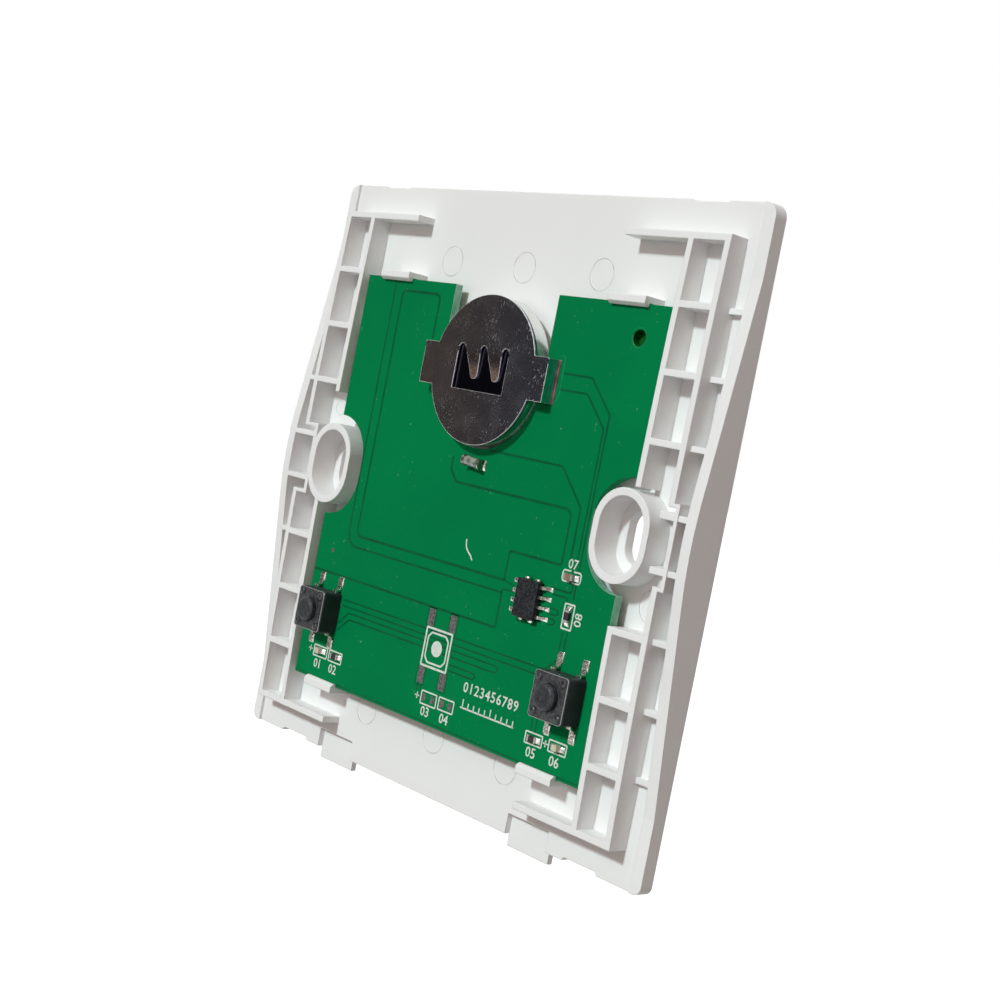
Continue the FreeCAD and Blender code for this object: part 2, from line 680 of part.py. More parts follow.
def make_terminals(x, z):
    """Four gull-wing terminals, two above and two below the housing."""
    half = SWITCH_SIDE / 2.0
    shoulder = BOARD_H + SWITCH_STANDOFF + 0.9
    path = [
        (half, shoulder),
        (half + 0.35, shoulder),
        (half + 0.6, BOARD_H + TERMINAL_T),
        (TERMINAL_REACH, BOARD_H + TERMINAL_T),
        (TERMINAL_REACH, BOARD_H),
        (half + 0.4, BOARD_H),
        (half + 0.15, shoulder - TERMINAL_T),
        (half, shoulder - TERMINAL_T),
    ]
    legs = []
    for side in (-1, 1):
        outline = [(z + side * s, h) for s, h in path]
        for dx in (-TERMINAL_PITCH / 2.0, TERMINAL_PITCH / 2.0):
            legs.append(side_prism(outline, x + dx - TERMINAL_W / 2.0, x + dx + TERMINAL_W / 2.0))
    return Part.makeCompound(legs)


def save(name, shape):
    """Write one node."""
    shape.exportStep("parts/" + name + ".step")


save("base_plate", make_base_plate())
save("circuit_board", make_board())
save("battery_clip", make_clip())
save("coin_cell", make_cell())
save("lower_contact", make_lower_contact())
save("chip_body", make_chip_body())
save("chip_leads", make_chip_leads())
save("capacitor", make_smd(CAPACITOR, CAPACITOR_T))
for resistor, place in RESISTORS.items():
    save(resistor, make_smd(place, RESISTOR_T))
for side_name, (led_x, led_z) in LEDS.items():
    save(side_name + "_led_base", make_smd((led_x, led_z, False), LED_BASE_T))
    save(side_name + "_led_lens", make_led_lens(led_x, led_z))
glass_half = DIODE_L / 2.0 - DIODE_CAP_L
save("diode_glass", diode_bar(DIODE_GLASS_R, -glass_half, glass_half))
diode_ends = [
    diode_bar(DIODE_R, -DIODE_L / 2.0, -glass_half),
    diode_bar(DIODE_R, glass_half, DIODE_L / 2.0),
]
save("diode_caps", Part.makeCompound(diode_ends))
for side_name, (switch_x, switch_z) in SWITCHES.items():
    save(side_name + "_switch_housing", make_switch_housing(switch_x, switch_z))
    save(side_name + "_switch_cover", make_switch_cover(switch_x, switch_z))
    save(side_name + "_plunger", make_plunger(switch_x, switch_z))
    save(side_name + "_snap_dome", make_dome(switch_x, switch_z))
    save(side_name + "_switch_terminals", make_terminals(switch_x, switch_z))
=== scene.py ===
import math
import bmesh
import bpy
import numpy as np
from mathutils import Matrix, Vector


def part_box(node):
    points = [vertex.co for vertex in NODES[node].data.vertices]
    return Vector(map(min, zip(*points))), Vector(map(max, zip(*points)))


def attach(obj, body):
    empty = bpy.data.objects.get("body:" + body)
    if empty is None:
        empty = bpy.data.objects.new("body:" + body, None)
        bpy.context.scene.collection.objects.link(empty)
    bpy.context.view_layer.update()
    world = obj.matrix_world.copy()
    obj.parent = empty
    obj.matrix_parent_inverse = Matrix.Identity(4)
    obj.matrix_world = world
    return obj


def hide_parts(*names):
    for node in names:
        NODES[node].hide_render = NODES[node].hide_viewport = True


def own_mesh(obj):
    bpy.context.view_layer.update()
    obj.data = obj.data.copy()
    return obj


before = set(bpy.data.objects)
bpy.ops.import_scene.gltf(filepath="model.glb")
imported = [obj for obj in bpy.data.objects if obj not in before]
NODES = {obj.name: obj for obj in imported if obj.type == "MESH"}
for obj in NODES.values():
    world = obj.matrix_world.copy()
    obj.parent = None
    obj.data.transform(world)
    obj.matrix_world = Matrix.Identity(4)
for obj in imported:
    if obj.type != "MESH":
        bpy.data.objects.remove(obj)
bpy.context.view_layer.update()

# All plan sizes below are millimetres in the plate's own frame; a height is a distance in front of the wall.
MM = 0.001
FLOOR_H = 1.6
BOARD_H = 4.05


# Mesh building

def link(data):
    """An object for the given mesh, curve, light or camera data, in the scene."""
    made = bpy.data.objects.new(data.name, data)
    bpy.context.scene.collection.objects.link(made)
    return made


def add_piece(name, verts, faces, material, slot, body="plate", smooth=False):
    """Put plan coordinates (x, height, z) into a mesh at the origin; a point's place is (x, -height, z)."""
    verts = np.asarray(verts, float)
    place = np.column_stack([verts[:, 0], -verts[:, 1], verts[:, 2]]) * MM
    mesh = bpy.data.meshes.new(name)
    mesh.from_pydata(place.tolist(), [], [list(f) for f in faces])
    work = bmesh.new()
    work.from_mesh(mesh)
    bmesh.ops.recalc_face_normals(work, faces=work.faces)
    work.to_mesh(mesh)
    work.free()
    mesh.polygons.foreach_set("use_smooth", np.full(len(mesh.polygons), smooth))
    mesh.materials.append(material)
    mesh.update()
    piece = link(mesh)
    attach(piece, body)
    return piece


def join_parts(parts):
    """Several (vertices, faces) pairs stacked into one pair, each part's face numbers moved up."""
    verts, faces, start = [], [], 0
    for v, f in parts:
        verts.append(np.asarray(v, float))
        faces += [tuple(int(i) + start for i in face) for face in f]
        start += len(v)
    return np.vstack(verts), faces


def ribbon(path, width, low, high, closed=False):
    """A flat strip carried along a plan path: each path point is pushed sideways by half the width along the
    mean of its two runs' normals, divided by the cosine of half the turn, and given a low and a high edge."""
    p = np.asarray(path, float)
    before = np.roll(p, 1, axis=0)
    after = np.roll(p, -1, axis=0)
    if not closed:
        before[0] = 2 * p[0] - p[1]
        after[-1] = 2 * p[-1] - p[-2]
    into = (p - before) / np.linalg.norm(p - before, axis=1)[:, None]
    out = (after - p) / np.linalg.norm(after - p, axis=1)[:, None]
    side_in = np.column_stack([-into[:, 1], into[:, 0]])
    side_out = np.column_stack([-out[:, 1], out[:, 0]])
    side = side_in + side_out
    side /= np.maximum((side * side_out).sum(1), 0.3)[:, None]
    left = p + side * width / 2.0
    right = p - side * width / 2.0
    n = len(p)
    verts = np.empty((n, 4, 3))
    verts[:, 0] = np.column_stack([left[:, 0], np.full(n, low), left[:, 1]])
    verts[:, 1] = np.column_stack([left[:, 0], np.full(n, high), left[:, 1]])
    verts[:, 2] = np.column_stack([right[:, 0], np.full(n, high), right[:, 1]])
    verts[:, 3] = np.column_stack([right[:, 0], np.full(n, low), right[:, 1]])
    last = n if closed else n - 1
    faces = []
    for i in range(last):
        a, b = 4 * i, 4 * ((i + 1) % n)
        faces += [(a + k, a + (k + 1) % 4, b + (k + 1) % 4, b + k) for k in range(4)]
    if not closed:
        faces += [(0, 1, 2, 3), (4 * n - 4, 4 * n - 3, 4 * n - 2, 4 * n - 1)]
    return verts.reshape(-1, 3), faces


def rounded(path, radius, closed=False, steps=5):
    """A plan path with each corner cut by a short curve: points p + r(a(1-t)^2 + b t^2), where a and b are the
    unit runs back and on from the corner, for t from 0 to 1."""
    p = [np.asarray(q, float) for q in path]
    n = len(p)
    made = []
    for i in range(n):
        if not closed and i in (0, n - 1):
            made.append(p[i])
            continue
        back, on = p[i - 1] - p[i], p[(i + 1) % n] - p[i]
        r = min(radius, 0.45 * np.linalg.norm(back), 0.45 * np.linalg.norm(on))
        a, b = back / np.linalg.norm(back), on / np.linalg.norm(on)
        t = np.linspace(0.0, 1.0, steps)[:, None]
        made += list(p[i] + r * (a * (1 - t) ** 2 + b * t ** 2))
    return np.array(made)


def slab(x0, x1, z0, z1, low, high):
    """A flat rectangular pad: a ribbon along its middle line."""
    middle = (z0 + z1) / 2.0
    return ribbon([(x0, middle), (x1, middle)], z1 - z0, low, high)


def turned(profile, x, z, steps=32):
    """A (radius, height) profile turned about the front-to-back line through (x, z): each ring is
    (x + r cos a, h, z + r sin a). A profile that starts and ends at radius 0 closes on itself."""
    prof = np.asarray(profile, float)
    angle = np.linspace(0, 2 * np.pi, steps, endpoint=False)
    verts, rings = [], []
    for r, h in prof:
        if r == 0:
            rings.append([len(verts)] * steps)
            verts.append((x, h, z))
        else:
            rings.append(list(range(len(verts), len(verts) + steps)))
            verts += list(zip(x + r * np.cos(angle), np.full(steps, h), z + r * np.sin(angle)))
    faces = []
    for lower, upper in zip(rings, rings[1:]):
        for k in range(steps):
            m = (k + 1) % steps
            face = [lower[k], lower[m], upper[m], upper[k]]
            face = list(dict.fromkeys(face))
            if len(face) > 2:
                faces.append(tuple(face))
    return np.array(verts), faces


def bead(x, z, half_x, half_z, base, rise, steps=10, lean=(0.0, 0.0)):
    """A solder bead: over u and v from -1 to 1, height = base + rise * (1 - u^4)^0.5 * (1 - v^4)^0.5, tilted by
    lean along each axis, closed by a flat underside."""
    u = np.sin(np.linspace(-np.pi / 2, np.pi / 2, steps))
    uu, vv = np.meshgrid(u, u, indexing="ij")
    swell = np.sqrt(np.clip(1 - uu ** 4, 0, 1)) * np.sqrt(np.clip(1 - vv ** 4, 0, 1))
    tilt = 1.0 + lean[0] * uu + lean[1] * vv
    top = base + rise * swell * np.clip(tilt, 0.05, None)
    xs, zs = x + half_x * uu, z + half_z * vv
    upper = np.column_stack([xs.ravel(), top.ravel(), zs.ravel()])
    lower = np.column_stack([xs.ravel(), np.full(xs.size, base - 0.01), zs.ravel()])
    verts = np.vstack([upper, lower])
    faces, off = [], steps * steps
    for i in range(steps - 1):
        for j in range(steps - 1):
            a = i * steps + j
            faces.append((a, a + 1, a + steps + 1, a + steps))
            faces.append((off + a, off + a + steps, off + a + steps + 1, off + a + 1))
    for k in range(steps - 1):
        rim = ((k, k + 1), (steps * (steps - 1) + k, steps * (steps - 1) + k + 1),
               (k * steps, (k + 1) * steps), (k * steps + steps - 1, (k + 1) * steps + steps - 1))
        faces += [(a, b, off + b, off + a) for a, b in rim]
    return verts, faces


def box_outline(x0, x1, z0, z1):
    """The four corners of a plan rectangle."""
    return [(x0, z0), (x1, z0), (x1, z1), (x0, z1)]


def ring_path(x, z, r, steps=40):
    """Points on a plan circle: (x + r cos a, z + r sin a)."""
    angle = np.linspace(0, 2 * np.pi, steps, endpoint=False)
    return np.column_stack([x + r * np.cos(angle), z + r * np.sin(angle)])


def printed_text(words, x, z, size, turn=0.0):
    """Plain characters as a flat mesh on the board, with its lower left corner at (x, z)."""
    curve = bpy.data.curves.new("words", "FONT")
    curve.body = words
    curve.size = size * MM
    curve.offset = 0.012 * size * MM
    curve.extrude = 0.008 * MM
    curve.resolution_u = 2
    holder = link(curve)
    bpy.context.view_layer.update()
    mesh = bpy.data.meshes.new_from_object(holder.evaluated_get(bpy.context.evaluated_depsgraph_get()))
    bpy.data.objects.remove(holder)
    mesh.transform(Matrix.Rotation(math.radians(turn), 4, "Z"))
    co = np.empty(len(mesh.vertices) * 3)
    mesh.vertices.foreach_get("co", co)
    co = co.reshape(-1, 3) / MM
    verts = np.column_stack([x + co[:, 0], BOARD_H + 0.02 + co[:, 2], z + co[:, 1]])
    faces = [tuple(p.vertices) for p in mesh.polygons]
    bpy.data.meshes.remove(mesh)
    return verts, faces


# Shader helpers

def new_group(name, inputs, outputs):
    """An empty shader node group with named sockets; inputs are (name, socket type, default)."""
    group = bpy.data.node_groups.new(name, "ShaderNodeTree")
    for label, kind, default in inputs:
        socket = group.interface.new_socket(label, in_out="INPUT", socket_type=kind)
        socket.default_value = default
    for label, kind in outputs:
        group.interface.new_socket(label, in_out="OUTPUT", socket_type=kind)
    start = group.nodes.new("NodeGroupInput")
    end = group.nodes.new("NodeGroupOutput")
    return group, start, end


def add_node(tree, kind, **settings):
    """A node with its plain settings made."""
    made = tree.nodes.new(kind)
    for key, value in settings.items():
        setattr(made, key, value)
    return made


def wire(tree, source, target):
    """Joins an output socket to an input socket."""
    tree.links.new(source, target)


def feed(tree, value, target):
    """Gives an input socket its value: a number or a colour as it is, or another node's output."""
    if isinstance(value, (int, float, tuple)):
        target.default_value = value
    else:
        wire(tree, value, target)


def math_node(tree, operation, a, b=None):
    """A Math node; a and b are sockets or numbers. Returns its output socket."""
    made = add_node(tree, "ShaderNodeMath", operation=operation)
    for i, value in enumerate((a, b)):
        if value is not None:
            feed(tree, value, made.inputs[i])
    return made.outputs[0]


def mix_colours(tree, factor, a, b):
    """A colour mix; each of a and b is a socket or an (r, g, b, 1) colour. Returns its output socket."""
    made = add_node(tree, "ShaderNodeMix", data_type="RGBA")
    feed(tree, factor, made.inputs["Factor"])
    feed(tree, a, made.inputs[6])
    feed(tree, b, made.inputs[7])
    return made.outputs[2]


def map_range(tree, value, **limits):
    """A Map Range node whose named limits are set, fed with value. Returns its output socket."""
    made = add_node(tree, "ShaderNodeMapRange")
    for key, limit in limits.items():
        made.inputs[key.replace("_", " ")].default_value = limit
    wire(tree, value, made.inputs["Value"])
    return made.outputs[0]


def object_xyz(tree):
    """The three object coordinates, in metres, as sockets."""
    place = add_node(tree, "ShaderNodeTexCoord")
    split = add_node(tree, "ShaderNodeSeparateXYZ")
    wire(tree, place.outputs["Object"], split.inputs[0])
    return split.outputs


def face_xyz(tree):
    """The three parts of the face's true normal, as sockets."""
    facing = add_node(tree, "ShaderNodeNewGeometry")
    split = add_node(tree, "ShaderNodeSeparateXYZ")
    wire(tree, facing.outputs["True Normal"], split.inputs[0])
    return split.outputs


def principled(material):
    """A material's node tree, its Principled shader and what now feeds the base colour."""
    tree = material.node_tree
    shader = tree.nodes["Principled BSDF"]
    links = shader.inputs["Base Color"].links
    return tree, shader, links[0].from_socket if links else None


def object_noise(group, start, detail):
    """Noise over the object coordinates at the group's own number of bumps per metre. Returns its output socket."""
    place = add_node(group, "ShaderNodeTexCoord")
    noise = add_node(group, "ShaderNodeTexNoise")
    noise.inputs["Detail"].default_value = detail
    wire(group, place.outputs["Object"], noise.inputs["Vector"])
    wire(group, start.outputs["Per metre"], noise.inputs["Scale"])
    return noise.outputs[0]


def grain_group():
    """Fine moulded or etched grain: noise at a given number of bumps per metre, as a height."""
    group, start, end = new_group(
        "fine_grain",
        [("Per metre", "NodeSocketFloat", 3000.0), ("Depth", "NodeSocketFloat", 1.0)],
        [("Height", "NodeSocketFloat")],
    )
    noise = object_noise(group, start, detail=2.0)
    wire(group, math_node(group, "MULTIPLY", noise, start.outputs["Depth"]), end.inputs["Height"])
    return group


def mottle_group():
    """Broad uneven colour: two colours mixed by noise, pulled towards the first."""
    group, start, end = new_group(
        "broad_mottle",
        [
            ("Main", "NodeSocketColor", (0.5, 0.5, 0.5, 1)),
            ("Other", "NodeSocketColor", (0.4, 0.4, 0.4, 1)),
            ("Per metre", "NodeSocketFloat", 120.0),
        ],
        [("Color", "NodeSocketColor"), ("Mask", "NodeSocketFloat")],
    )
    spread = map_range(group, object_noise(group, start, detail=5.0), From_Min=0.38, From_Max=0.68)
    mixed = mix_colours(group, spread, start.outputs["Main"], start.outputs["Other"])
    wire(group, mixed, end.inputs["Color"])
    wire(group, spread, end.inputs["Mask"])
    return group


def edge_group():
    """Rounded edges: a normal rounded over a small radius, and a mask where it leaves the flat one, which carries
    painted edge highlights.
    """
    group, start, end = new_group(
        "soft_edges_and_highlight",
        [("Radius", "NodeSocketFloat", 0.0002)],
        [("Normal", "NodeSocketVector"), ("Mask", "NodeSocketFloat")],
    )
    soft = add_node(group, "ShaderNodeBevel", samples=6)
    wire(group, start.outputs["Radius"], soft.inputs["Radius"])
    flat = add_node(group, "ShaderNodeNewGeometry")
    dot = add_node(group, "ShaderNodeVectorMath", operation="DOT_PRODUCT")
    wire(group, soft.outputs[0], dot.inputs[0])
    wire(group, flat.outputs["Normal"], dot.inputs[1])
    wire(group, soft.outputs[0], end.inputs["Normal"])
    wire(group, map_range(group, dot.outputs["Value"], From_Min=0.995, From_Max=0.86), end.inputs["Mask"])
    return group


def speck_group():
    """Fine scattered specks and short scratches as a mask from 0 to 1: the tops of a fine noise that is drawn out
    along Z, let through where a broader noise is above a level, so that they gather in patches."""
    group, start, end = new_group(
        "specks",
        [("Per metre", "NodeSocketFloat", 900.0), ("Top", "NodeSocketFloat", 0.62), ("Patch", "NodeSocketFloat", 0.5)],
        [("Mask", "NodeSocketFloat")],
    )
    place = add_node(group, "ShaderNodeTexCoord")
    stretch = add_node(group, "ShaderNodeMapping")
    stretch.inputs["Scale"].default_value = (1.0, 1.0, 0.55)
    stretch.inputs["Rotation"].default_value = (0.0, 0.5, 0.0)
    wire(group, place.outputs["Object"], stretch.inputs["Vector"])
    fine = add_node(group, "ShaderNodeTexNoise")
    fine.inputs["Detail"].default_value = 3.0
    fine.inputs["Roughness"].default_value = 0.75
    wire(group, stretch.outputs[0], fine.inputs["Vector"])
    wire(group, start.outputs["Per metre"], fine.inputs["Scale"])
    peak = math_node(group, "MULTIPLY", math_node(group, "SUBTRACT", fine.outputs[0], start.outputs["Top"]), 14.0)
    patches = add_node(group, "ShaderNodeTexNoise")
    wire(group, place.outputs["Object"], patches.inputs["Vector"])
    patches.inputs["Scale"].default_value = 320.0
    patches.inputs["Detail"].default_value = 4.0
    there = math_node(group, "MULTIPLY", math_node(group, "SUBTRACT", patches.outputs[0], start.outputs["Patch"]), 8.0)
    both = math_node(group, "MULTIPLY", math_node(group, "MAXIMUM", peak, 0.0), math_node(group, "MAXIMUM", there, 0.0))
    wire(group, math_node(group, "MINIMUM", both, 1.0), end.inputs["Mask"])
    return group


GRAIN, MOTTLE, EDGES, SPECKS = grain_group(), mottle_group(), edge_group(), speck_group()


def place_group(tree, group, **values):
    """One shared group placed in a material with its own values."""
    made = add_node(tree, "ShaderNodeGroup", node_tree=group)
    for key, value in values.items():
        made.inputs[key.replace("_", " ")].default_value = value
    return made


def finish(
    name,
    colour,
    other=None,
    mottle=120.0,
    roughness=0.5,
    rough_other=None,
    metallic=0.0,
    grain=3000.0,
    depth=0.05,
    edge=0.0,
    edge_highlight_colour=None,
    specks=None,
    speck_colour=(0.8, 0.8, 0.8, 1),
    specular=0.3,
):
    """A surface finish: mottled colour, grain bump, rounded edges that may carry a painted highlight, and specks."""
    material = bpy.data.materials.new(name)
    material.use_nodes = True
    tree, shader, _ = principled(material)
    shader.inputs["Metallic"].default_value = metallic
    shader.inputs["Roughness"].default_value = roughness
    shader.inputs["Specular IOR Level"].default_value = specular
    other = other or tuple(0.93 * c for c in colour[:3]) + (1,)
    broad = place_group(tree, MOTTLE, Main=colour, Other=other, Per_metre=mottle)
    surface = broad.outputs["Color"]
    if rough_other is not None:
        spread = map_range(tree, broad.outputs["Mask"], To_Min=roughness, To_Max=rough_other)
        wire(tree, spread, shader.inputs["Roughness"])
    bump = add_node(tree, "ShaderNodeBump")
    bump.inputs["Strength"].default_value = 1.0
    bump.inputs["Distance"].default_value = 0.00002
    fine = place_group(tree, GRAIN, Per_metre=grain, Depth=depth)
    wire(tree, fine.outputs["Height"], bump.inputs["Height"])
    if specks is not None:
        spots = place_group(tree, SPECKS, Per_metre=specks[0], Top=specks[1])
        surface = mix_colours(tree, spots.outputs["Mask"], surface, speck_colour)
    if edge > 0:
        soft = place_group(tree, EDGES, Radius=edge * MM)
        wire(tree, soft.outputs["Normal"], bump.inputs["Normal"])
        # A lighter edge colour is a painted highlight along the rounded edges
        if edge_highlight_colour is not None:
            surface = mix_colours(tree, soft.outputs["Mask"], surface, edge_highlight_colour)
    wire(tree, bump.outputs[0], shader.inputs["Normal"])
    wire(tree, surface, shader.inputs["Base Color"])
    return material


def dress(material, *names):
    """Gives CAD nodes their finish."""
    for name in names:
        mesh = NODES[name].data
        mesh.materials.clear()
        mesh.materials.append(material)


def plan_mask(tree, axis, limit, centre):
    """1 where the distance from centre along one object axis is past a limit in metres, else 0."""
    away = math_node(tree, "ABSOLUTE", math_node(tree, "SUBTRACT", object_xyz(tree)[axis], centre))
    return math_node(tree, "GREATER_THAN", away, limit)


def tin_ends(material, axis, limit, centre):
    """Paints bright tinned ends on a small part, past a distance from its middle along one axis."""
    tree, shader, source = principled(material)
    mask = plan_mask(tree, axis, limit * MM, centre * MM)
    wire(tree, mix_colours(tree, mask, source, TIN_END), shader.inputs["Base Color"])
    wire(tree, math_node(tree, "MULTIPLY", mask, 0.5), shader.inputs["Metallic"])


# Finishes

# Where a finish below is given a lighter edge colour, that is a painted highlight along its rounded edges: the
# moulding, the chip, the switch housing, the plunger and the cover's rim
white_moulding = finish(
    "white_moulding", (0.89, 0.89, 0.885, 1), (0.87, 0.87, 0.865, 1), mottle=60.0, roughness=0.4,
    rough_other=0.5, grain=4200.0, depth=0.14, edge=0.22, edge_highlight_colour=(0.95, 0.95, 0.95, 1),
)
board_face = finish(
    "board_face", (0.0006, 0.215, 0.066, 1), (0.0005, 0.188, 0.060, 1), mottle=45.0, roughness=0.42,
    rough_other=0.5, grain=2200.0, depth=0.12, specular=0.02, specks=(2600.0, 0.66),
    speck_colour=(0.22, 0.50, 0.33, 1),
)
cell_metal = finish(
    "cell_metal", (0.80, 0.80, 0.78, 1), (0.72, 0.72, 0.70, 1), roughness=0.16, rough_other=0.24, metallic=1.0,
    grain=1500.0, depth=0.08, edge=0.08,
)
tinned = finish(
    "tinned", (0.86, 0.84, 0.80, 1), (0.24, 0.20, 0.15, 1), mottle=1500.0, roughness=0.2, rough_other=0.4,
    metallic=1.0, grain=4000.0, depth=1.6, edge=0.05,
)
solder = finish(
    "solder", (0.82, 0.81, 0.78, 1), (0.22, 0.19, 0.16, 1), mottle=1700.0, roughness=0.16, rough_other=0.36,
    metallic=1.0, grain=4000.0, depth=1.6,
)
cap_metal = finish(
    "cap_metal", (0.50, 0.48, 0.44, 1), (0.05, 0.045, 0.04, 1), mottle=2300.0, roughness=0.25, rough_other=0.5,
    metallic=1.0, grain=4000.0, depth=2.0,
)
bare_pad = finish(
    "bare_pad", (0.19, 0.18, 0.175, 1), (0.055, 0.05, 0.05, 1), mottle=3000.0, roughness=0.45, rough_other=0.6,
    metallic=0.3, grain=5000.0, depth=1.5,
)
chip_resin = finish(
    "chip_resin", (0.008, 0.009, 0.011, 1), (0.040, 0.042, 0.048, 1), mottle=3000.0, roughness=0.6,
    grain=5200.0, depth=1.2, edge=0.08, edge_highlight_colour=(0.08, 0.08, 0.08, 1), specular=0.12,
)
switch_resin = finish(
    "switch_resin", (0.024, 0.030, 0.034, 1), (0.034, 0.041, 0.046, 1), mottle=500.0, roughness=0.42,
    grain=6000.0, depth=0.4, edge=0.2, edge_highlight_colour=(0.05, 0.055, 0.06, 1), specular=0.2,
)
plunger_resin = finish(
    "plunger_resin", (0.016, 0.018, 0.022, 1), (0.048, 0.050, 0.056, 1), mottle=2200.0, roughness=0.35,
    rough_other=0.5, grain=3600.0, depth=1.0, edge=0.32, edge_highlight_colour=(0.085, 0.086, 0.09, 1), specular=0.3,
)
rivet_resin = finish(
    "rivet_resin", (0.016, 0.017, 0.020, 1), (0.05, 0.05, 0.055, 1), mottle=2600.0, roughness=0.18, rough_other=0.35,
    grain=3600.0, depth=1.2, specular=0.5,
)
cover_metal = finish(
    "cover_metal", (0.055, 0.057, 0.061, 1), (0.11, 0.11, 0.115, 1), mottle=2600.0, roughness=0.4,
    rough_other=0.6, metallic=0.8, grain=3600.0, depth=1.0, edge=0.14, edge_highlight_colour=(0.66, 0.65, 0.64, 1),
)
dome_metal = finish("dome_metal", (0.70, 0.69, 0.66, 1), roughness=0.25, metallic=1.0)
print_ink = finish(
    "print_ink", (0.74, 0.78, 0.73, 1), (0.60, 0.68, 0.61, 1), mottle=1300.0, roughness=0.6, grain=7000.0, depth=0.5,
)
gap_mask = finish(
    "gap_mask", (0.0006, 0.118, 0.042, 1), (0.0006, 0.092, 0.034, 1), mottle=300.0, roughness=0.4, specular=0.1,
)
# A painted highlight for the copper's edges beside the etched gaps
copper_edge_highlight = finish(
    "copper_edge_highlight", (0.001, 0.225, 0.082, 1), (0.001, 0.200, 0.070, 1), mottle=300.0, roughness=0.4, specular=0.1,
)
pale_mask = finish(
    "pale_mask", (0.008, 0.26, 0.10, 1), (0.004, 0.20, 0.07, 1), mottle=600.0, roughness=0.4, specular=0.1,
)
hole_shade_paint = finish(
    "hole_shade_paint", (0.004, 0.105, 0.012, 1), (0.002, 0.08, 0.01, 1), mottle=600.0, roughness=0.5, specular=0.1,
)
dark_flux = finish(
    "dark_flux", (0.10, 0.05, 0.04, 1), (0.22, 0.16, 0.13, 1), mottle=900.0, roughness=0.4, grain=3000.0, depth=1.0,
)
led_resin = finish(
    "led_resin", (0.72, 0.68, 0.52, 1), (0.55, 0.50, 0.36, 1), mottle=1200.0, roughness=0.25, edge=0.06,
)
# Painted shade and painted highlight for the rings of the ejector marks
mark_shade = finish("mark_shade", (0.54, 0.535, 0.525, 1), (0.85, 0.85, 0.845, 1), mottle=700.0, roughness=0.5)
mark_highlight = finish("mark_highlight", (0.97, 0.97, 0.97, 1), (0.88, 0.88, 0.875, 1), mottle=700.0, roughness=0.5)
TIN_END = (0.47, 0.45, 0.42, 1)
# The height at which the clip's two fingers bend inwards, in metres
FINGER_ROOT_Z = 0.0191
# The cell's lid starts in front of this, in metres
CELL_STEP_Y = -0.00523


